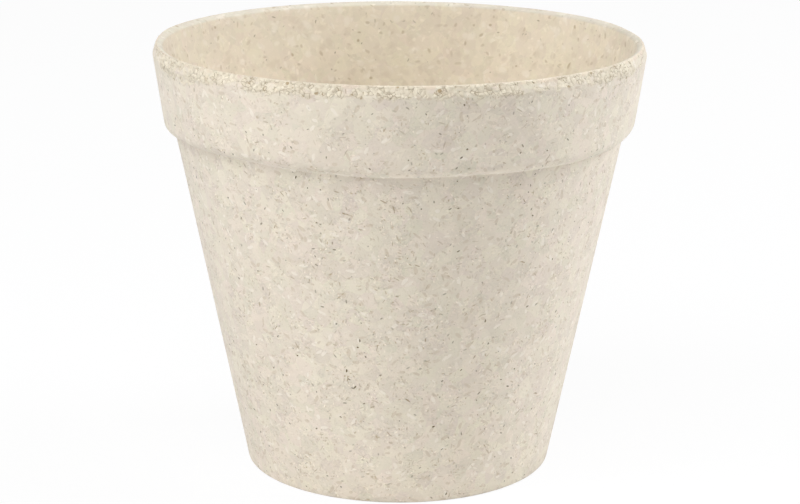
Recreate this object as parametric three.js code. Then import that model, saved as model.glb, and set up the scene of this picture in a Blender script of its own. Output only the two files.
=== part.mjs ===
// A tapered flower pot with a collar, pressed in one piece from wood particles.
// Millimetres, +Z up. The origin is the middle of the foot, on the surface that the pot stands on.

import * as THREE from 'three';

// Driving dimensions: the outside
const rimDiameter = 110;        // across the widest line of the collar, just under the lip
const potHeight = 97;
const footDiameter = 69.4;      // the body's cone, carried down to the table
const collarHeight = 19.8;      // from the lip down to the crease
const collarDraft = 8.4;        // degrees, how far the collar's face leans in towards its lower edge
const collarOverhang = 2.2;     // how far the collar's lower edge stands out past the body
const collarUndersideRise = 17; // degrees, how the collar's underside climbs from the crease
const lipBreakWidth = 0.7;      // the rough outer corner of the lip, where the press closes
const lipBreakHeight = 2.3;
const crestFall = 25;           // degrees, how the lip's top falls towards the inside

// Driving dimensions: the walls and the bottom
const lipWall = 2.2;            // all three walls are measured level, across the wall
const waistWall = 2.0;          // at the crease
const footWall = 3.2;           // at the inside floor
const floorThickness = 3.0;
const footRecess = 1.5;         // how far the underside is raised inside the foot ring
const footRingWidth = 5.0;
const recessDraft = 35;         // degrees, the slope on the inside of the foot ring
const drainDiameter = 12;
const drainChamfer = 0.5;

// Driving dimensions: corner radii
const footRadius = 0.8;
const creaseRadius = 0.4;
const collarRollRadius = 3.0;
const lipOuterRadius = 0.4;
const lipInnerRadius = 0.8;
const floorRadius = 6.0;

// Smoothness
const segmentsAround = 80;
const degreesPerArcStep = 20;
const bodyRings = 4;            // rings that divide the long straight walls, so the facets stay squat
const arcShare = 0.95;          // arcs take at most this share of the side between two corners

const tanDegrees = (angle) => Math.tan(THREE.MathUtils.degToRad(angle));

// Where the outside walls meet, each as a radius and a height
const rimRadius = rimDiameter / 2;
const footRadiusOutside = footDiameter / 2;
const drainRadius = drainDiameter / 2;
const breakHeight = potHeight - lipBreakHeight;
const creaseHeight = potHeight - collarHeight;

// The collar's face and its underside meet at the collar's lower corner
const faceLean = tanDegrees(collarDraft);
const collarLowerHeight = creaseHeight + collarOverhang * tanDegrees(collarUndersideRise);
const collarLowerRadius = rimRadius - (breakHeight - collarLowerHeight) * faceLean;
const creaseRadiusOutside = collarLowerRadius - collarOverhang;

// The crest's corner stands higher by what its rounding takes off, so the rounded lip is potHeight high
const breakAngle = Math.atan2(lipBreakHeight, -lipBreakWidth);
const crestTurn = Math.PI + THREE.MathUtils.degToRad(crestFall) - breakAngle;
const crestCut = lipOuterRadius * (Math.tan(crestTurn / 2) * Math.sin(breakAngle) - Math.cos(breakAngle) - 1);
const crestHeight = potHeight + crestCut;
const crestRadius = rimRadius - lipBreakWidth - crestCut * lipBreakWidth / lipBreakHeight;
const innerLipRadius = rimRadius - lipWall;
const innerLipHeight = crestHeight - (crestRadius - innerLipRadius) * tanDegrees(crestFall);

// The inside follows the outside at the lip, the crease and the floor, one wall away
const floorHeight = footRecess + floorThickness;
const bodyTaper = (creaseRadiusOutside - footRadiusOutside) / creaseHeight;
const floorCornerRadius = footRadiusOutside + bodyTaper * floorHeight - footWall;
const ringInnerRadius = footRadiusOutside - footRingWidth;
const recessRadius = ringInnerRadius - footRecess * tanDegrees(recessDraft);

// The outline of the wall, anticlockwise from the drain hole's lower edge. Each corner is rounded by
// its own radius, and a corner with rings divides the straight run that leads to it.
const outline = [
  { r: drainRadius, z: footRecess + drainChamfer },
  { r: drainRadius + drainChamfer, z: footRecess },
  { r: recessRadius, z: footRecess },
  { r: ringInnerRadius, z: 0 },
  { r: footRadiusOutside, z: 0, round: footRadius },
  { r: creaseRadiusOutside, z: creaseHeight, round: creaseRadius, rings: bodyRings },
  { r: collarLowerRadius, z: collarLowerHeight, round: collarRollRadius },
  { r: rimRadius, z: breakHeight },
  { r: crestRadius, z: crestHeight, round: lipOuterRadius },
  { r: innerLipRadius, z: innerLipHeight, round: lipInnerRadius },
  { r: creaseRadiusOutside - waistWall, z: creaseHeight },
  { r: floorCornerRadius, z: floorHeight, round: floorRadius, rings: bodyRings },
  { r: drainRadius + drainChamfer, z: floorHeight },
  { r: drainRadius, z: floorHeight - drainChamfer },
];

// The angle that the outline turns through at a corner, and how much of each side its arc takes
function turnAt(before, corner, after) {
  const inward = new THREE.Vector2(corner.r - before.r, corner.z - before.z);
  const outward = new THREE.Vector2(after.r - corner.r, after.z - corner.z);
  const angle = Math.atan2(inward.cross(outward), inward.dot(outward));
  const reach = (corner.round ?? 0) * Math.tan(Math.abs(angle) / 2);
  return { angle, reach, inward, outward };
}

// Where two arcs share a side that is too short for both, each gets its share of the side
function roundedPoints(corners) {
  const count = corners.length;
  const turns = corners.map((corner, i) =>
    turnAt(corners[(i + count - 1) % count], corner, corners[(i + 1) % count]));
  const points = [];
  corners.forEach((corner, i) => {
    const turn = turns[i];
    const before = turns[(i + count - 1) % count];
    const after = turns[(i + 1) % count];
    const crowding = Math.max(
      (turn.reach + before.reach) / (turn.inward.length() * arcShare),
      (turn.reach + after.reach) / (turn.outward.length() * arcShare),
      1);
    const reach = turn.reach / crowding;
    const entry = new THREE.Vector2(corner.r, corner.z)
      .addScaledVector(turn.inward.clone().normalize(), -reach);

    const start = points.at(-1);
    for (let ring = 1; ring < (corner.rings ?? 1); ring += 1) {
      points.push(start.clone().lerp(entry, ring / corner.rings));
    }
    points.push(entry);
    if (reach === 0) return;

    const radius = reach / Math.tan(Math.abs(turn.angle) / 2);
    const side = Math.sign(turn.angle);
    const heading = turn.inward.angle();
    const centre = entry.clone().add(
      new THREE.Vector2(-Math.sin(heading), Math.cos(heading)).multiplyScalar(side * radius));
    const steps = Math.max(2, Math.round(Math.abs(turn.angle) / THREE.MathUtils.degToRad(degreesPerArcStep)));
    for (let step = 1; step <= steps; step += 1) {
      const swept = turn.angle * step / steps;
      points.push(entry.clone().rotateAround(centre, swept));
    }
  });
  return points;
}

const profile = roundedPoints(outline);
profile.push(profile[0].clone());

const potGeometry = new THREE.LatheGeometry(profile, segmentsAround);
potGeometry.rotateX(Math.PI / 2);

const pressedWood = new THREE.MeshStandardMaterial({ color: 0xd9cfba, roughness: 0.85, metalness: 0 });

const pot = new THREE.Mesh(potGeometry, pressedWood);
pot.name = 'pot';

const flowerPot = new THREE.Group();
flowerPot.name = 'flower_pot';
flowerPot.add(pot);

export default flowerPot;
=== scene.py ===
import math

import bpy
import numpy as np
from mathutils import Matrix, Vector, kdtree, noise


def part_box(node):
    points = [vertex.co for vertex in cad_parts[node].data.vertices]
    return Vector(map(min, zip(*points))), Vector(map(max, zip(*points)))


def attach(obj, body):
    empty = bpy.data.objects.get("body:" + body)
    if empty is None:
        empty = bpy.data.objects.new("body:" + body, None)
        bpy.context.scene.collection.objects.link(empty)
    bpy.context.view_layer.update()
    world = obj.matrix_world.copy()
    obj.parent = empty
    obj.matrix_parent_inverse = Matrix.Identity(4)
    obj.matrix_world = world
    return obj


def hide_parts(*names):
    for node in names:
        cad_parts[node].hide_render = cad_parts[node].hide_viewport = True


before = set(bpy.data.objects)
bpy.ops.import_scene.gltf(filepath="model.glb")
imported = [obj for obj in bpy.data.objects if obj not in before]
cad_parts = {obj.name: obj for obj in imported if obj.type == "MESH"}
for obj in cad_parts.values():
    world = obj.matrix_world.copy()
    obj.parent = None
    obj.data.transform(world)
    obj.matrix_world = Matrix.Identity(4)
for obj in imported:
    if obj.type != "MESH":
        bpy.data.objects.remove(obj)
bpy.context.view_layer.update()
rimLow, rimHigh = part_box("pot")
rimRadius = (rimHigh.x - rimLow.x) / 2
potHeight = rimHigh.z
potMiddle = Vector((0, 0, potHeight / 2))
mm = 0.001
print("frame loaded, rim radius", round(rimRadius / mm, 2), "mm")


# The camera, where the photograph was taken from
photoView = {
    "distance": 0.5341,             # metres from the middle of the pot
    "elevation": math.radians(15.01),
    "lens": 105.07,                 # mm
    "sensorWidth": 36,              # mm
    "roll": math.radians(0.29),     # the pot leans a little to the right in the picture
    "aim": Vector((0.3 * mm, 0, 47.86 * mm)),
}


def addCamera(view):
    data = bpy.data.cameras.new("photoCamera")
    data.lens = view["lens"]
    data.sensor_width = view["sensorWidth"]
    camera = bpy.data.objects.new("photoCamera", data)
    bpy.context.scene.collection.objects.link(camera)
    away = Vector((0, -math.cos(view["elevation"]), math.sin(view["elevation"])))
    place = potMiddle + away * view["distance"]
    look = (view["aim"] - place).to_track_quat("-Z", "Y")
    camera.matrix_world = (
        Matrix.Translation(place) @ look.to_matrix().to_4x4() @ Matrix.Rotation(view["roll"], 4, "Z")
    )
    bpy.context.scene.camera = camera


# A socket that takes part in sums, so that shader maths reads as an expression
class Wire:
    def __init__(self, tree, socket=None):
        self.tree = tree
        self.socket = socket

    # Any node: its type, its settings, then the values or wires of its inputs by name or number
    def node(self, kind, settings=None, inputs=None, output=0):
        made = self.tree.nodes.new(kind)
        for name, value in (settings or {}).items():
            setattr(made, name, value)
        for name, value in (inputs or {}).items():
            if isinstance(value, Wire):
                self.tree.links.new(value.socket, made.inputs[name])
            else:
                made.inputs[name].default_value = value
        if len(made.outputs):
            return Wire(self.tree, made.outputs[output])

    def out(self, name):
        return Wire(self.tree, self.socket.node.outputs[name])

    def math(self, operation, first, second=0.0):
        return self.node("ShaderNodeMath", {"operation": operation}, {0: first, 1: second})

    def __add__(self, other):
        return self.math("ADD", self, other)

    def __radd__(self, other):
        return self.math("ADD", other, self)

    def __sub__(self, other):
        return self.math("SUBTRACT", self, other)

    def __rsub__(self, other):
        return self.math("SUBTRACT", other, self)

    def __mul__(self, other):
        return self.math("MULTIPLY", self, other)

    def __rmul__(self, other):
        return self.math("MULTIPLY", other, self)

    def __truediv__(self, other):
        return self.math("DIVIDE", self, other)

    def __rtruediv__(self, other):
        return self.math("DIVIDE", other, self)

    # 0 at low and 1 at high, with a soft change between them. Low may be the greater of the two.
    def rise(self, low, high):
        return self.node(
            "ShaderNodeMapRange",
            {"interpolation_type": "SMOOTHSTEP"},
            {"Value": self, "From Min": low, "From Max": high},
        )


# The emptied node tree of a material or world, ready for its first node
def emptyTree(owner):
    owner.use_nodes = True
    owner.node_tree.nodes.clear()
    return Wire(owner.node_tree)


def vectorMath(operation, first, second=None, scale=None, output=0):
    inputs = {0: first}
    if second is not None:
        inputs[1] = second
    if scale is not None:
        inputs["Scale"] = scale
    return first.node("ShaderNodeVectorMath", {"operation": operation}, inputs, output)


def dot(first, second):
    return vectorMath("DOT_PRODUCT", first, second, output="Value")


# The colours of a Mix node are its inputs 6 and 7 and its output 2
def mixColour(factor, below, above, blend="MIX"):
    maker = next(given for given in (factor, below, above) if isinstance(given, Wire))
    settings = {"data_type": "RGBA", "blend_type": blend, "clamp_factor": True}
    return maker.node("ShaderNodeMix", settings, {0: factor, 6: below, 7: above}, output=2)


def multiplyColour(colour, tint):
    return mixColour(1.0, colour, tint, "MULTIPLY")


# Pressed wood particles. Sizes are in millimetres, and a shift keeps one pattern apart from the next.
pressedWood = {
    "wood": (0.742, 0.663, 0.541, 1),
    "paleShaving": (0.845, 0.775, 0.665, 1),
    "tanShaving": (0.630, 0.535, 0.410, 1),
    "chip": (0.960, 0.865, 0.725, 1),
    "grit": (0.450, 0.330, 0.170, 1),
    "fibre": (0.350, 0.245, 0.115, 1),
    "speck": (0.115, 0.075, 0.010, 1),
    # The broken lip's darker colour is partly browner wood and partly painted shade of its crevices
    "brokenBrownAndShade": (0.697, 0.611, 0.456, 1),
    "brokenPale": (0.884, 0.810, 0.650, 1),
    # The inside's tint is painted bounce light: yellower and a little darker, as light between its walls
    # makes it
    "insidePaintedBounce": (0.993, 0.984, 0.945, 1),     # the inside is a little yellower
    "insideTurn": (0.1, -0.3),                  # where it begins: 1 faces outwards and -1 inwards
    # The lip's narrow top has a tint of painted shade, and the collar, which ends this far below it, is a
    # little calmer
    "crest": {"height": 0.5, "outer": (1.000, 0.960, 0.920, 1), "inner": (0.898, 0.930, 0.965, 1)},
    "collar": {"end": (19.0, 20.5), "darker": 0.01, "evener": 0.4, "fewer": 0.15},
    "bend": {"size": 2.2, "detail": 1.0, "reach": 0.8},     # particles are never straight
    "gathering": {                              # where small particles lie, and not large smooth flakes
        "size": 4.5, "detail": 2.0, "shift": (7, 7, 7), "edge": (-0.10, 0.12),
        "insideLess": 0.3, "elsewhere": 0.3,
    },
    "patches": {"size": 5.0, "detail": 2.0, "contrast": 0.09, "green": 0.4, "yellow": 0.6},
    "layers": {                                 # inside says how strong a layer is on the inside
        "flakes": {
            "size": 2.8, "contrast": 0.098, "green": 0.42, "yellow": 0.10,
            "inside": 0.8, "gathered": False, "shift": (3, 1, 7),
        },
        "particles": {
            "size": 0.9, "contrast": 0.055, "green": 0.34, "yellow": 0.06,
            "inside": 1.4, "gathered": True, "shift": (8, 5, 2),
        },
        "dust": {
            "size": 0.36, "contrast": 0.09, "green": 0.0, "yellow": 0.0,
            "inside": 0.4, "gathered": True, "shift": (1, 6, 4),
        },
    },
    # Slivers lie one to a cell, in a share of the cells. Length, width and thickness are measured from
    # the middle. Each has a random tone from 0 to 1. It sets how strongly the sliver shows, by the least
    # plus the spread times the tone squared, or its colour, which changes between two tones.
    "slivers": {
        "shavings": {
            "cell": 2.0, "length": 0.95, "width": 0.38, "thickness": 0.80, "share": 0.85,
            "softness": 0.20, "shift": (4, 9, 16), "strength": 0.75, "lostInside": 0.40,
            "tanToPale": (0.25, 0.75),
        },
        "chips": {
            "cell": 0.85, "length": 0.34, "width": 0.17, "thickness": 0.32, "share": 0.80,
            "softness": 0.35, "shift": (11, 3, 5), "least": 0.0, "spread": 0.90, "insideLess": 0.2,
        },
        "grit": {
            "cell": 0.72, "length": 0.34, "width": 0.14, "thickness": 0.30, "share": 0.75,
            "softness": 0.35, "shift": (2, 13, 9), "least": 0.0, "spread": 0.75, "insideLess": 0.9,
        },
        "fibres": {
            "cell": 1.6, "length": 0.74, "width": 0.14, "thickness": 0.60, "share": 0.55,
            "softness": 0.35, "shift": (5, 17, 1), "least": 0.06, "spread": 0.78, "insideLess": 0.4,
        },
        "specks": {
            "cell": 1.9, "length": 0.35, "width": 0.17, "thickness": 0.60, "share": 0.40,
            "softness": 0.35, "shift": (19, 7, 4), "least": 0.12, "spread": 0.93, "insideLess": 0.5,
        },
        "smudges": {
            "cell": 2.2, "length": 0.62, "width": 0.34, "thickness": 1.0, "share": 0.85,
            "softness": 0.80, "shift": (8, 3, 21), "least": 0.16, "spread": 1.4, "middle": 0.45,
            "paleToDark": (0.45, 0.55),
        },
        "clouds": {
            "cell": 3.4, "length": 1.30, "width": 0.80, "thickness": 1.6, "share": 0.85,
            "softness": 0.80, "shift": (12, 31, 2), "strength": 0.42, "paleToTan": (0.3, 0.5),
        },
    },
    # How crowded the chips, grit and fibres are: least, where particles gather, and on the broken lip
    "crowd": {"least": 0.35, "gathered": 0.65, "broken": 0.5, "insideLess": 0.55},
    # The crumbled lip. Pairs are where a change begins and ends, of a grain's own chance from -0.5 to
    # 0.5, of the way to its edge, or of the height of its dome.
    "grains": {
        "size": 0.90, "dome": 1.6, "bulge": 2.7,
        "crackEdge": (0.01, 0.07), "cracked": (-0.10, 0.20),
        "missing": (0.44, 0.48), "pitEdge": (0.5, 0.8),
        # The colours of the gaps, cracks and pits are painted shadow, and the broken lip's darkening is
        # partly painted shade
        "brokenBrownAndShade": 0.6, "brokenPale": 0.75, "gap": 0.15, "crackShadow": 0.9, "pitShadow": 0.8,
    },
    # How far light places and chips stand up and grit and fibres lie deeper, in bump distances
    "relief": {"light": 8, "chips": 0.6, "grit": 0.6, "fibres": 0.5, "insideLess": 0.8},
    "bumpDistance": 0.06 * mm,
    "roughness": 0.80,
    "specular": 0.5,
    "sheen": 0.2,                               # fine fibres catch the light where the wall turns away
    "sheenRoughness": 0.5,
}


# The place in millimetres, which way the surface faces, the two directions that lie in it, round the pot
# and along its wall, and the direction straight out from the pot's axis
def surfaceFrame(start):
    place = vectorMath("SCALE", start.node("ShaderNodeTexCoord", output="Object"), scale=1 / mm)
    facing = start.node("ShaderNodeTexCoord", output="Normal")
    upward = start.node("ShaderNodeCombineXYZ", None, {"Z": 1.0})
    around = vectorMath("NORMALIZE", vectorMath("CROSS_PRODUCT", upward, place))
    along = vectorMath("CROSS_PRODUCT", facing, around)
    outwards = vectorMath("CROSS_PRODUCT", around, upward)
    return place, facing, around, along, outwards


# A place in millimetres, measured in the cells of a pattern
def inCells(place, size, shift=(0, 0, 0)):
    return vectorMath("ADD", vectorMath("SCALE", place, scale=1 / size), shift)


def cloudColours(place, size, detail, shift=(0, 0, 0)):
    inputs = {"Vector": inCells(place, size, shift), "Scale": 1.0, "Detail": detail}
    return place.node("ShaderNodeTexNoise", None, inputs, output="Color")


def cellColours(place, size, shift=(0, 0, 0)):
    inputs = {"Vector": inCells(place, size, shift), "Scale": 1.0}
    return place.node("ShaderNodeTexVoronoi", None, inputs, output="Color")


# The three parts of a colour, each from -0.5 to 0.5
def threeParts(colour):
    parts = colour.node("ShaderNodeSeparateColor", None, {"Color": colour})
    return [parts.out(name) - 0.5 for name in ("Red", "Green", "Blue")]


# Scattered slivers that lie flat in the wall, each turned its own way and from 0.35 to 1.35 of its
# length. Returns a mask from 0 to 1 and a random tone for each sliver.
def slivers(surface, kind):
    place, facing, around, along = surface
    moved = inCells(place, kind["cell"], kind["shift"])
    cells = place.node("ShaderNodeTexVoronoi", None, {"Vector": moved, "Scale": 1.0})
    chance = place.node("ShaderNodeSeparateColor", None, {"Color": cells.out("Color")})
    offset = vectorMath("SUBTRACT", moved, cells.out("Position"))
    offset = vectorMath("SCALE", offset, scale=kind["cell"])
    sideways = dot(offset, around)
    upwards = dot(offset, along)
    turn = chance.out("Red") * (2 * math.pi)
    cosine = turn.math("COSINE", turn)
    sine = turn.math("SINE", turn)
    another = chance.out("Red") * 17            # its fraction is as good as a new random number
    stretch = 0.35 + another.math("FRACT", another)
    lengthwise = (sideways * cosine + upwards * sine) / (stretch * kind["length"])
    crosswise = (upwards * cosine - sideways * sine) / kind["width"]
    deep = dot(offset, facing) / kind["thickness"]
    reach = lengthwise * lengthwise + crosswise * crosswise + deep * deep
    present = chance.math("LESS_THAN", chance.out("Green"), kind["share"])
    mask = 1 - reach.rise(1 - kind["softness"], 1 + kind["softness"])
    return mask * present, chance.out("Blue")


def makePressedWood(look):
    material = bpy.data.materials.new("pressedWood")
    start = emptyTree(material)
    place, facing, around, along, outwards = surfaceFrame(start)

    # The cells and slivers are read at a slightly bent place
    bending = cloudColours(place, look["bend"]["size"], look["bend"]["detail"])
    bending = vectorMath("SUBTRACT", bending, (0.5, 0.5, 0.5))
    bent = vectorMath("ADD", place, vectorMath("SCALE", bending, scale=look["bend"]["reach"]))
    surface = (bent, facing, around, along)

    # 1 on the inside of the wall, which was pressed smoother
    inside = dot(facing, outwards).rise(*look["insideTurn"])

    # How far below the lip's top the surface lies, and 1 on the collar
    fromTop = potHeight / mm - start.node("ShaderNodeSeparateXYZ", None, {"Vector": place}, output="Z")
    collar = 1 - fromTop.rise(*look["collar"]["end"])
    fewer = 1 - collar * look["collar"]["fewer"]

    # 1 where small particles gather
    gathering = look["gathering"]
    chance = cloudColours(place, gathering["size"], gathering["detail"], gathering["shift"])
    coarse = threeParts(chance)[0].rise(*gathering["edge"]) * (1 - inside * gathering["insideLess"])

    # Tone, green tint and yellow tint of the patches, the flakes, the particles and the dust
    patches = look["patches"]
    tone, greenTone, yellowTone = threeParts(cloudColours(place, patches["size"], patches["detail"]))
    light = tone * patches["contrast"] * (1 - collar * look["collar"]["evener"])
    light = light - collar * look["collar"]["darker"]
    green = greenTone * patches["contrast"] * patches["green"]
    yellow = yellowTone * patches["contrast"] * patches["yellow"]
    for layer in look["layers"].values():
        tone, greenTone, yellowTone = threeParts(cellColours(bent, layer["size"], layer["shift"]))
        gain = (1 + inside * (layer["inside"] - 1)) * layer["contrast"]
        if layer["gathered"]:
            gain = (gathering["elsewhere"] + coarse) * fewer * gain
        light = light + tone * gain
        green = green + greenTone * gain * layer["green"]
        yellow = yellow + yellowTone * gain * layer["yellow"]
    brightness = 1 + light
    shade = start.node(
        "ShaderNodeCombineColor",
        None,
        {"Red": brightness, "Green": brightness + green, "Blue": brightness - yellow},
    )
    wood = multiplyColour(look["wood"], shade)
    # Painted bounce light: the inside is tinted yellower and a little darker
    wood = mixColour(inside, wood, multiplyColour(wood, look["insidePaintedBounce"]))

    # The narrow top of the lip, where it isn't broken, is tinted darker: painted shade against the light
    # it catches from above
    rough = start.node("ShaderNodeAttribute", {"attribute_name": "rough"}, output="Fac")
    crestHeight = look["crest"]["height"]
    crest = (1 - fromTop.rise(crestHeight, 2 * crestHeight)) * (1 - rough)
    crestPaintedShade = mixColour(inside, look["crest"]["outer"], look["crest"]["inner"])
    wood = mixColour(crest, wood, multiplyColour(wood, crestPaintedShade))

    # Slivers, from the pale chips to the rare dark specks
    kinds, masks, tones = look["slivers"], {}, {}
    for name, kind in kinds.items():
        masks[name], tones[name] = slivers(surface, kind)

    def strength(kind, tone):
        return kind["least"] + tone * tone * kind["spread"]

    crowd = look["crowd"]
    crowded = crowd["least"] + coarse * crowd["gathered"] + rough * crowd["broken"]
    crowded = crowded * (1 - inside * crowd["insideLess"]) * fewer
    pale = tones["shavings"].rise(*kinds["shavings"]["tanToPale"])
    shaving = mixColour(pale, look["tanShaving"], look["paleShaving"])
    shown = kinds["shavings"]["strength"] - inside * kinds["shavings"]["lostInside"]
    wood = mixColour(masks["shavings"] * shown, wood, shaving)
    for name, colour in (("chips", "chip"), ("grit", "grit"), ("fibres", "fibre")):
        shown = strength(kinds[name], tones[name]) * (1 - inside * kinds[name]["insideLess"])
        wood = mixColour(masks[name] * crowded * shown, wood, look[colour])
    shown = strength(kinds["specks"], tones["specks"]) * (1 - inside * kinds["specks"]["insideLess"])
    shown = shown * (1 - collar * (1 - inside) * look["collar"]["fewer"])
    wood = mixColour(masks["specks"] * shown, wood, look["speck"])

    # The soft smudges and clouds of the inside
    dark = tones["smudges"].rise(*kinds["smudges"]["paleToDark"])
    smudge = mixColour(dark, look["chip"], look["fibre"])
    shown = strength(kinds["smudges"], tones["smudges"] - kinds["smudges"]["middle"])
    wood = mixColour(masks["smudges"] * inside * shown, wood, smudge)
    tan = tones["clouds"].rise(*kinds["clouds"]["paleToTan"])
    cloud = mixColour(tan, look["paleShaving"], look["tanShaving"])
    wood = mixColour(masks["clouds"] * inside * kinds["clouds"]["strength"], wood, cloud)

    # The crumbled lip: each grain has its tone, with painted shadow in the cracks between them and in the
    # pits where grains are gone
    grain = look["grains"]
    cells = cellColours(bent, grain["size"])
    grainTone, missing, cracked = threeParts(cells)
    dome = 1 - cells.out("Distance") * cells.out("Distance") * grain["dome"]
    toEdge = start.node(
        "ShaderNodeTexVoronoi",
        {"feature": "DISTANCE_TO_EDGE"},
        {"Vector": inCells(bent, grain["size"]), "Scale": 1.0},
    )
    cracks = rough * (1 - toEdge.rise(*grain["crackEdge"])) * cracked.rise(*grain["cracked"])
    pits = rough * missing.rise(*grain["missing"]) * dome.rise(*grain["pitEdge"])
    gap = start.node("ShaderNodeAttribute", {"attribute_name": "gap"}, output="Fac")
    # The broken part is darker: partly browner wood, partly painted shade of its crevices
    wood = mixColour(rough * grain["brokenBrownAndShade"], wood, look["brokenBrownAndShade"])
    wood = mixColour(rough * (grainTone + 0.5) * grain["brokenPale"], wood, look["brokenPale"])
    # Painted shadow in the gaps between grains
    wood = mixColour(rough * gap * grain["gap"], wood, look["grit"])
    wood = mixColour(cracks * grain["crackShadow"], wood, look["fibre"])
    wood = mixColour(pits * grain["pitShadow"], wood, look["fibre"])

    relief = look["relief"]
    height = light * relief["light"] + (tones["shavings"] - 0.5) * masks["shavings"]
    height = height + masks["chips"] * crowded * relief["chips"]
    height = height - masks["grit"] * crowded * relief["grit"]
    height = height - masks["fibres"] * crowded * relief["fibres"] - masks["specks"]
    height = height * (1 - inside * relief["insideLess"]) + rough * dome * grain["bulge"] - cracks - pits
    bump = start.node(
        "ShaderNodeBump", None, {"Strength": 1.0, "Distance": look["bumpDistance"], "Height": height}
    )
    shader = start.node(
        "ShaderNodeBsdfPrincipled",
        None,
        {
            "Base Color": wood,
            "Roughness": look["roughness"],
            "Normal": bump,
            "Specular IOR Level": look["specular"],
            "Sheen Weight": look["sheen"],
            "Sheen Roughness": look["sheenRoughness"],
        },
    )
    start.node("ShaderNodeOutputMaterial", None, {"Surface": shader})
    return material


# The pot's shape, in metres, as the CAD part has it
potShape = {
    "footRadius": 34.7 * mm,
    "collarHeight": 19.8 * mm,
    "collarDraft": math.radians(8.4),
    "collarOverhang": 2.2 * mm,
    "undersideRise": math.radians(17),
    "breakWidth": 0.7 * mm,         # the lip's rough outer corner
    "breakHeight": 2.3 * mm,
    "crumbledHeight": 5.5 * mm,     # how far below the break crumbs may reach
    "breakRound": 1.5 * mm,
    "crestFall": math.radians(25),  # the lip's top falls away towards the inside
    "lipWall": 2.2 * mm,
    "waistWall": 2.0 * mm,
    "footWall": 3.2 * mm,
    "floorThickness": 3.0 * mm,
    "footRecess": 1.5 * mm,
    "footRingWidth": 5.0 * mm,
    "recessDraft": math.radians(35),
    "drainRadius": 6.0 * mm,
    "drainChamfer": 0.5 * mm,
    "footRound": 0.8 * mm,
    "creaseRound": 0.4 * mm,
    "collarRound": 3.0 * mm,
    "lipOuterRound": 0.4 * mm,
    "lipInnerRound": 0.8 * mm,
    "floorRound": 6.0 * mm,
    "segments": 400,                # round the pot
    "lipSegments": 1200,            # round the lip, where the crumbs are: always three times as many
    "fineInside": 1.2 * mm,         # how far down the inside the lip's rings go
    "fineMargin": 0.3 * mm,
    # The walls stray a little from true, but not at the foot and the rim. Tilt lets the waves lean.
    "wander": {"depth": 0.10 * mm, "seed": 3, "turns": (2, 3, 5, 8, 13), "tilt": 60},
    "trueFoot": 6 * mm,
    "trueRim": 4 * mm,
    # The collar's lower edge strays up and down
    "creaseWander": {"depth": 0.35 * mm, "seed": 5, "turns": (1, 2, 3, 5), "tilt": 0},
    "creaseReach": 5 * mm,
    "ringSpacing": {                # of the mesh's rings along each stretch of the wall
        "drainHole": 1.0 * mm,
        "chamfer": 0.5 * mm,
        "floor": 3.0 * mm,
        "recess": 0.7 * mm,
        "footRing": 1.2 * mm,
        "body": 1.9 * mm,
        "underside": 0.3 * mm,
        "collar": 1.1 * mm,
        "lip": 0.26 * mm,
        "crest": 0.3 * mm,
        "collarInside": 1.6 * mm,
        "bodyInside": 2.4 * mm,
        "arc": 0.3 * mm,
    },
}


# Corners of the wall's outline: radius, height, rounding, and the spacing of rings up to the corner
def outlineCorners(s):
    breakHeight = potHeight - s["breakHeight"]
    crease = potHeight - s["collarHeight"]
    lean = math.tan(s["collarDraft"])
    lowerHeight = crease + s["collarOverhang"] * math.tan(s["undersideRise"])
    lowerRadius = rimRadius - (breakHeight - lowerHeight) * lean
    creaseRadius = lowerRadius - s["collarOverhang"]
    floor = s["footRecess"] + s["floorThickness"]
    taper = (creaseRadius - s["footRadius"]) / crease
    floorCorner = s["footRadius"] + taper * floor - s["footWall"]
    ringInner = s["footRadius"] - s["footRingWidth"]
    recess = ringInner - s["footRecess"] * math.tan(s["recessDraft"])
    smoothHeight = breakHeight - s["crumbledHeight"]
    smoothRadius = rimRadius - (breakHeight - smoothHeight) * lean
    # The crest's corner stands higher by what its rounding takes off, so the rounded lip keeps its height
    breakSlope = s["breakWidth"] / s["breakHeight"]
    breakAngle = math.atan2(1, -breakSlope)
    turn = math.pi + s["crestFall"] - breakAngle
    cut = s["lipOuterRound"] * (math.tan(turn / 2) * math.sin(breakAngle) - math.cos(breakAngle) - 1)
    crestRadius = rimRadius - s["breakWidth"] - cut * breakSlope
    crestHeight = potHeight + cut
    innerRadius = rimRadius - s["lipWall"]
    innerHeight = crestHeight - (crestRadius - innerRadius) * math.tan(s["crestFall"])
    drain, chamfer, spacing = s["drainRadius"], s["drainChamfer"], s["ringSpacing"]
    return [
        (drain, s["footRecess"] + chamfer, 0, spacing["drainHole"]),
        (drain + chamfer, s["footRecess"], 0, spacing["chamfer"]),
        (recess, s["footRecess"], 0, spacing["floor"]),
        (ringInner, 0, 0, spacing["recess"]),
        (s["footRadius"], 0, s["footRound"], spacing["footRing"]),
        (creaseRadius, crease, s["creaseRound"], spacing["body"]),
        (lowerRadius, lowerHeight, s["collarRound"], spacing["underside"]),
        (smoothRadius, smoothHeight, 0, spacing["collar"]),
        (rimRadius, breakHeight, s["breakRound"], spacing["lip"]),
        (crestRadius, crestHeight, s["lipOuterRound"], spacing["lip"]),
        (innerRadius, innerHeight, s["lipInnerRound"], spacing["crest"]),
        (creaseRadius - s["waistWall"], crease, 0, spacing["collarInside"]),
        (floorCorner, floor, s["floorRound"], spacing["bodyInside"]),
        (drain + chamfer, floor, 0, spacing["floor"]),
        (drain, floor - chamfer, 0, spacing["chamfer"]),
    ]


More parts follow.
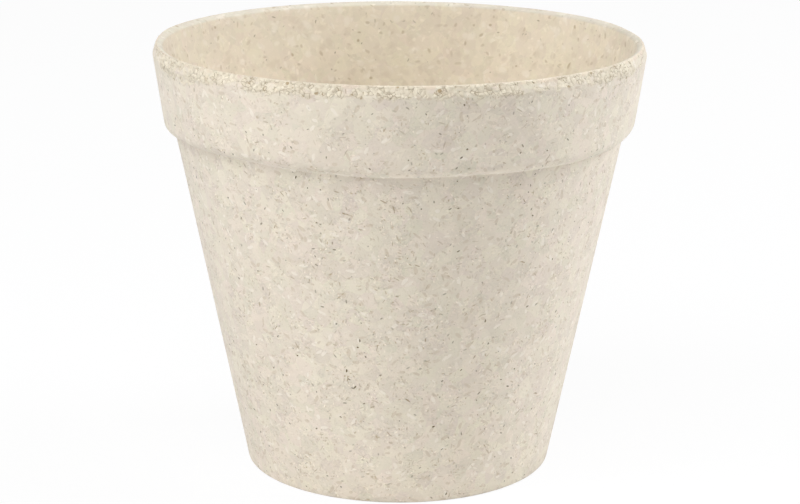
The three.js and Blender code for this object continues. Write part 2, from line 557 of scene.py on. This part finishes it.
# The closed outline as radius and height points. Round corners become arcs.
def outlinePoints(corners, arcSpacing):
    count = len(corners)
    points = []
    for i, (radius, height, rounding, spacing) in enumerate(corners):
        corner = Vector((radius, height))
        before = corner - Vector(corners[i - 1][:2])
        after = Vector(corners[(i + 1) % count][:2]) - corner
        turn = before.angle_signed(after) * -1
        reach = rounding * math.tan(abs(turn) / 2)
        entry = corner - before.normalized() * reach
        start = points[-1] if points else entry
        rings = max(1, round((entry - start).length / spacing))
        points += [start.lerp(entry, ring / rings) for ring in range(1, rings + 1)]
        if rounding:
            side = math.copysign(1, turn)
            inward = Vector((-before.y, before.x)).normalized() * side
            centre = entry + inward * rounding
            steps = max(3, math.ceil(abs(turn) * rounding / arcSpacing))
            for step in range(1, steps + 1):
                points.append(centre + Matrix.Rotation(turn * step / steps, 2) @ (entry - centre))
    first = Vector(corners[0][:2])
    rings = max(1, round((first - points[-1]).length / corners[0][3]))
    points += [points[-1].lerp(first, ring / rings) for ring in range(1, rings)]
    return np.array([tuple(p) for p in points])


# Which way the wall faces at each point of its outline
def outlineNormals(outline):
    ahead = np.roll(outline, -1, axis=0) - outline
    behind = outline - np.roll(outline, 1, axis=0)
    direction = ahead / np.linalg.norm(ahead, axis=1, keepdims=True)
    direction += behind / np.linalg.norm(behind, axis=1, keepdims=True)
    direction /= np.linalg.norm(direction, axis=1, keepdims=True)
    return np.stack([direction[:, 1], -direction[:, 0]], axis=1)


# The rings of the lip, which have more points: all that crumbs may reach, and the crest
def lipRings(outline, shape, lipTop):
    radius, height = outline.T
    lowest = potHeight - shape["breakHeight"] - shape["crumbledHeight"]
    outside = (height > lowest) & (np.arange(len(outline)) <= lipTop)
    innerEdge = rimRadius - shape["lipWall"] - shape["fineMargin"]
    crest = (height > potHeight - shape["fineInside"]) & (radius > innerEdge)
    return outside | crest


# Smooth random waves round the pot, mostly from -1 to 1
def waves(angle, height, wander):
    random = np.random.default_rng(wander["seed"])
    count = len(wander["turns"])
    total = np.zeros_like(angle)
    for n in wander["turns"]:
        phase, tilt = random.uniform(0, 2 * math.pi), random.uniform(-wander["tilt"], wander["tilt"])
        total += np.sin(n * angle + phase + tilt * height / count) / count ** 0.5
    return total


# 0 on a part of the rim and 1 beyond it. The part is its middle, half width and soft end in degrees.
def beyond(azimuth, part):
    middle, half, soft = part
    away = np.abs((azimuth - middle + 180) % 360 - 180)
    return np.clip((away - half) / soft + 0.5, 0, 1)


# 1 at the middle, falling softly to 0 over the width
def near(value, middle, width):
    return np.exp(-(((value - middle) / width) ** 2))


# A smooth random value that changes from place to place
def patchy(spot, size, shift=(0, 0, 0), strength=1, added=0):
    return noise.noise(spot / size + Vector(shift)) * strength + added


# The crumbling corner of the lip. Places on the rim are in degrees to the right of the camera. Worn ones
# are a middle, a width, and how much further down the crumbs reach there.
crumbs = {
    "seed": 7,
    "size": 0.72 * mm,              # distance between grains
    "jitter": 0.25,                 # of that size
    "depth": 0.14 * mm,             # how deep a missing grain goes
    "gapDepth": 0.10 * mm,
    "gapWidth": 0.15 * mm,
    "overCrest": 0.2 * mm,          # how far past the lip's top grains may lie
    "smoothEdge": 0.15 * mm,        # the crest's inner edge stays whole
    "smoothSoft": 0.3 * mm,
    "reach": 2.7 * mm,              # down from the crest
    "reachSoft": 0.35 * mm,
    "ragged": 1.1 * mm,
    "raggedSizes": (2.4 * mm, 0.9 * mm),
    "raggedFine": 0.6,              # how strong the finer of the two is
    "worn": [(-60, 16, 1.7 * mm), (-28, 9, 0.7 * mm), (60, 14, 0.9 * mm), (150, 30, 1.5 * mm)],
    "pitted": (56, 9, 8.0 * mm),    # a worn place with scattered pits only
    # Random values. The lip holds where the first two add up to less than 0, in whole stretches and in
    # small plates, and the scattered pits are where the third is above 0.
    "stretches": {"size": 4.5 * mm, "strength": 5, "added": 1.9, "shift": (0, 0, 9)},
    "plates": {"size": 1.7 * mm, "strength": 4, "added": 0, "shift": (9, 0, 0)},
    "pits": {"size": 1.0 * mm, "strength": 8, "added": -2.24, "shift": (0, 9, 0)},
    "pitSoft": 1.0 * mm,
    "crumbled": (2, 76, 12),        # middle, half width and soft end of the crumbled part of the lip
    "wholeLess": 0.85,              # how much less far the crumbs reach beyond it
    "broken": (7, 105, 14),         # and of the part where the crest is broken away
    "wholeWidth": 0.65 * mm,        # how much wider the whole part is
    "wholeShare": 0.7,              # of the crest's width, over which it widens
}


# The crumbled lip, for each point of the mesh: how near it lies to a gap between grains, how broken it
# is, and how far it is pushed, inwards if under 0. Grains are scattered over the crumbly points, which
# lie in a strip of this area.
def crumbleLip(place, azimuth, below, crumbly, strip, crumb):
    random = np.random.default_rng(crumb["seed"])
    grains = random.choice(crumbly, int(strip / crumb["size"] ** 2), replace=False)
    jitter = random.normal(0, crumb["size"] * crumb["jitter"], (len(grains), 3))
    tree = kdtree.KDTree(len(grains))
    for i, spot in enumerate(place[grains] + jitter):
        tree.insert(spot, i)
    tree.balance()
    grainHeight = random.uniform(-1, 0, len(grains))
    print("lip grains", len(grains))

    reach = np.full(len(place), crumb["reach"])
    for middle, width, extra in crumb["worn"]:
        reach += extra * near(azimuth, middle, width)
    reach *= 1 - beyond(azimuth, crumb["crumbled"]) * crumb["wholeLess"]
    pitMiddle, pitWidth, pitReach = crumb["pitted"]
    pitReach = pitReach * near(azimuth, pitMiddle, pitWidth)
    coarseSize, fineSize = crumb["raggedSizes"]
    gap, rough, push = (np.zeros(len(place)) for _ in range(3))
    for i in crumbly:
        spot = Vector(place[i])
        ragged = patchy(spot, coarseSize) + crumb["raggedFine"] * patchy(spot, fineSize)
        reached = (reach[i] + ragged * crumb["ragged"] - below[i]) / crumb["reachSoft"]
        broken = patchy(spot, **crumb["plates"]) + patchy(spot, **crumb["stretches"])
        pits = min(patchy(spot, **crumb["pits"]), (pitReach[i] - below[i]) / crumb["pitSoft"])
        offCrest = (below[i] - crumb["smoothEdge"]) / crumb["smoothSoft"] + 0.5
        rough[i] = min(max(min(max(min(reached, broken), pits), offCrest), 0), 1)
        if rough[i] > 0:
            (_, grain, nearest), (_, _, second) = tree.find_n(spot, 2)
            gap[i] = 1 - min((second - nearest) / crumb["gapWidth"], 1)
            push[i] = grainHeight[grain] * crumb["depth"] - gap[i] * crumb["gapDepth"]
    return gap, rough, push


# The flat map for export, in shares of its square: the strips' lower and upper edges, the discs' middles
flatMap = {
    "outside": (0.005, 0.395),
    "inside": (0.405, 0.775),
    "margin": 0.002,                # at both ends of a strip
    "underside": (0.11, 0.89),
    "floor": (0.35, 0.89),
    "discWidth": 0.2,
}


# How the surface lies in the flat map: both sides of the wall as strips, the underside and the inside
# floor as discs. Each disc is measured along the surface, so the drain hole's wall has its ring.
def flatCharts(outline, travel, lipTop):
    level = np.abs(np.diff(outline[:, 1])) < 1e-4 * mm
    pastCrest = lipTop + 6          # beyond the crest's rounding
    footEnd = int(np.flatnonzero(level[:lipTop])[-1]) + 1
    floorStart = int(np.flatnonzero(level[pastCrest:])[0]) + pastCrest
    perMetre = flatMap["discWidth"] / (2 * (outline[0, 0] + travel[footEnd]))
    return [
        {"first": 0, "last": footEnd, "middle": flatMap["underside"], "perMetre": perMetre,
         "start": -outline[0, 0]},
        {"first": footEnd, "last": lipTop, "edges": flatMap["outside"],
         "start": travel[footEnd], "end": travel[lipTop]},
        {"first": lipTop, "last": floorStart, "edges": flatMap["inside"],
         "start": travel[lipTop], "end": travel[floorStart]},
        {"first": floorStart, "last": len(outline), "middle": flatMap["floor"], "perMetre": -perMetre,
         "start": travel[floorStart] + outline[floorStart, 0]},
    ]


def flatPlace(chart, travelled, turnShare):
    if "middle" in chart:
        right, up = chart["middle"]
        reach = (travelled - chart["start"]) * chart["perMetre"]
        turn = turnShare * 2 * math.pi
        return np.stack([right + reach * np.cos(turn), up + reach * np.sin(turn)], axis=1)
    low, high = chart["edges"]
    share = (travelled - chart["start"]) / (chart["end"] - chart["start"])
    right = flatMap["margin"] + (1 - 2 * flatMap["margin"]) * turnShare
    return np.stack([right, np.full_like(right, low + (high - low) * share)], axis=1)


# Faces between neighbouring rings, and their corners in the flat map. Where the fine lip meets the
# coarse wall, each coarse step meets three fine ones.
def wallFaces(counts, starts, travel, charts):
    rings = len(counts)
    faces, flatPlaces = [], []
    for low in range(rings):
        high = low + 1
        here, there = counts[low], counts[high % rings]
        k = np.arange(min(here, there))
        if here == there:
            patterns = [[(low, k), (low, k + 1), (high, k + 1), (high, k)]]
        elif here < there:
            patterns = [
                [(low, k), (high, 3 * k + 1), (high, 3 * k)],
                [(low, k), (low, k + 1), (high, 3 * k + 2), (high, 3 * k + 1)],
                [(low, k + 1), (high, 3 * k + 3), (high, 3 * k + 2)],
            ]
        else:
            patterns = [
                [(low, 3 * k), (low, 3 * k + 1), (high, k)],
                [(low, 3 * k + 1), (low, 3 * k + 2), (high, k + 1), (high, k)],
                [(low, 3 * k + 2), (low, 3 * k + 3), (high, k + 1)],
            ]
        chart = next(c for c in charts if c["first"] <= low < c["last"])
        for pattern in patterns:
            points = [starts[r % rings] + step % counts[r % rings] for r, step in pattern]
            faces += np.stack(points, axis=1).tolist()
            flat = [flatPlace(chart, travel[r], step / counts[r % rings]) for r, step in pattern]
            flatPlaces.append(np.stack(flat, axis=1).reshape(-1, 2))
    return faces, np.concatenate(flatPlaces)


def buildPot(shape, crumb):
    outline = outlinePoints(outlineCorners(shape), shape["ringSpacing"]["arc"])
    outward = outlineNormals(outline)
    lipTop = int(np.argmax(outline[:, 1]))
    fine = lipRings(outline, shape, lipTop)
    counts = np.where(fine, shape["lipSegments"], shape["segments"])
    starts = np.concatenate([[0], np.cumsum(counts)])
    print("outline rings", len(outline), "of which fine", int(fine.sum()))

    ring = np.repeat(np.arange(len(outline)), counts)
    around = (np.arange(starts[-1]) - starts[ring]) / counts[ring]
    angle = around * 2 * math.pi
    azimuth = np.degrees(angle) - 180
    radius, height = outline[ring, 0], outline[ring, 1]
    side = np.stack([-np.sin(angle), np.cos(angle)], axis=1)   # the seam is at the back
    normal = np.column_stack([side * outward[ring, :1], outward[ring, 1]])
    place = np.column_stack([side * radius[:, None], height])

    # The collar's lower edge wanders up and down
    wander = shape["creaseWander"]
    nearCrease = near(height, potHeight - shape["collarHeight"], shape["creaseReach"]) * (ring <= lipTop)
    place[:, 2] += nearCrease * waves(angle, height, wander) * wander["depth"]

    # The crest is broken away at the front and whole at the back
    whole = beyond(azimuth, crumb["broken"])
    lift = np.clip((height - potHeight) / shape["breakHeight"] + 1, 0, 1)
    crestWidth = (shape["lipWall"] - shape["breakWidth"]) * crumb["wholeShare"]
    lift *= np.clip((radius - rimRadius + shape["lipWall"]) / crestWidth, 0, 1)
    place[:, :2] += side * (whole * lift * crumb["wholeWidth"])[:, None]

    # The walls stray a little from true
    wander = shape["wander"]
    loose = np.clip(height / shape["trueFoot"], 0, 1)
    loose *= np.clip((potHeight - height) / shape["trueRim"], 0, 1)
    place += normal * (waves(angle, height, wander) * loose * wander["depth"])[:, None]

    # Grains along the lip's outer corner. Below is along the wall, down from the crest.
    closed = np.vstack([outline, outline[:1]])
    travel = np.concatenate([[0], np.cumsum(np.linalg.norm(np.diff(closed, axis=0), axis=1))])
    below = travel[lipTop] - travel[ring]
    crumbly = np.flatnonzero(fine[ring] & (below > -crumb["overCrest"]))
    strip = 2 * math.pi * rimRadius * (shape["breakHeight"] + shape["crumbledHeight"])
    gap, rough, push = crumbleLip(place, azimuth, below, crumbly, strip, crumb)
    place += normal * (push * rough)[:, None]

    faces, flatPlaces = wallFaces(counts, starts, travel, flatCharts(outline, travel, lipTop))
    mesh = bpy.data.meshes.new("potBody")
    mesh.from_pydata(place.tolist(), [], faces)
    flatLayer = mesh.uv_layers.new(name="OFBake")
    flatLayer.uv.foreach_set("vector", flatPlaces.ravel().astype(np.float32))
    mesh.shade_smooth()
    for name, values in (("gap", gap), ("rough", rough)):
        attribute = mesh.attributes.new(name, "FLOAT", "POINT")
        attribute.data.foreach_set("value", values.astype(np.float32))
    mesh.update()
    pot = bpy.data.objects.new("potBody", mesh)
    bpy.context.scene.collection.objects.link(pot)
    print("pot faces", len(mesh.polygons))
    return pot


# Studio. Azimuth 0 is where the camera stands and 90 is to its right, elevation is above the table. A
# lamp of strength 1 alone makes a white surface that faces it render white. Sizes are in metres.
studio = {
    "world": 0.07,
    "floorColour": (0.9, 0.9, 0.9, 1),
    "floorGlow": 0.94,
    "floorWidth": 6.0,
    "daylight": (0.985, 1.00, 1.04),     # the sides are lit a little cooler than the front
    "lampDistance": 1.2,
    "lamps": {
        "leftSoftbox": {
            "azimuth": -66, "elevation": 15, "size": 0.7, "strength": 0.20, "daylight": True,
        },
        "leftHighSoftbox": {
            "azimuth": -60, "elevation": 45, "size": 0.7, "strength": 0.356, "daylight": True,
        },
        "rightSoftbox": {
            "azimuth": 98, "elevation": 32, "size": 0.7, "strength": 0.785, "daylight": True,
        },
        "frontSoftbox": {
            "azimuth": -20, "elevation": 60, "size": 0.9, "strength": 0.555, "daylight": False,
        },
    },
}


def addLamp(name, lamp, light):
    azimuth, elevation = math.radians(lamp["azimuth"]), math.radians(lamp["elevation"])
    level = math.cos(elevation)
    away = Vector((math.sin(azimuth) * level, -math.cos(azimuth) * level, math.sin(elevation)))
    data = bpy.data.lights.new(name, "AREA")
    data.shape = "DISK"
    data.size = lamp["size"]
    data.energy = lamp["strength"] * (math.pi * light["lampDistance"]) ** 2
    if lamp["daylight"]:
        data.color = light["daylight"]
    shown = bpy.data.objects.new(name, data)
    bpy.context.scene.collection.objects.link(shown)
    turned = away.to_track_quat("Z", "Y").to_matrix().to_4x4()
    shown.matrix_world = Matrix.Translation(potMiddle + away * light["lampDistance"]) @ turned


# 1 for the rays that should meet the white background: the camera's own, also mirrored or through glass
def background(start):
    rays = start.node("ShaderNodeLightPath")
    seen = rays.math("MAXIMUM", rays.out("Is Camera Ray"), rays.out("Is Glossy Ray"))
    return rays.math("MAXIMUM", seen, rays.out("Is Transmission Ray"))


def addStudio(light):
    world = bpy.data.worlds.new("studio")
    bpy.context.scene.world = world
    start = emptyTree(world)
    strength = background(start) * (1 - light["world"]) + light["world"]
    glow = start.node("ShaderNodeBackground", None, {"Color": (1, 1, 1, 1), "Strength": strength})
    start.node("ShaderNodeOutputWorld", None, {"Surface": glow})

    floorMesh = bpy.data.meshes.new("floor")
    half = light["floorWidth"] / 2
    floorCorners = [(-half, -half, 0), (half, -half, 0), (half, half, 0), (-half, half, 0)]
    floorMesh.from_pydata(floorCorners, [], [(0, 1, 2, 3)])
    floor = bpy.data.objects.new("floor", floorMesh)
    bpy.context.scene.collection.objects.link(floor)
    material = bpy.data.materials.new("paleFloor")
    start = emptyTree(material)
    matte = start.node("ShaderNodeBsdfDiffuse", None, {"Color": light["floorColour"]})
    white = start.node("ShaderNodeEmission", None, {"Color": (1, 1, 1, 1), "Strength": 1.0})
    whiter = background(start) * light["floorGlow"]
    both = start.node("ShaderNodeMixShader", None, {0: whiter, 1: matte, 2: white})
    start.node("ShaderNodeOutputMaterial", None, {"Surface": both})
    floorMesh.materials.append(material)

    for name, lamp in light["lamps"].items():
        addLamp(name, lamp, light)


addCamera(photoView)
print("camera placed")
potBody = buildPot(potShape, crumbs)
potBody.data.materials.append(makePressedWood(pressedWood))
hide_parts("pot")
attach(potBody, "root")
print("pot built")
addStudio(studio)
print("studio lit")
bpy.context.scene.view_settings.view_transform = "Standard"
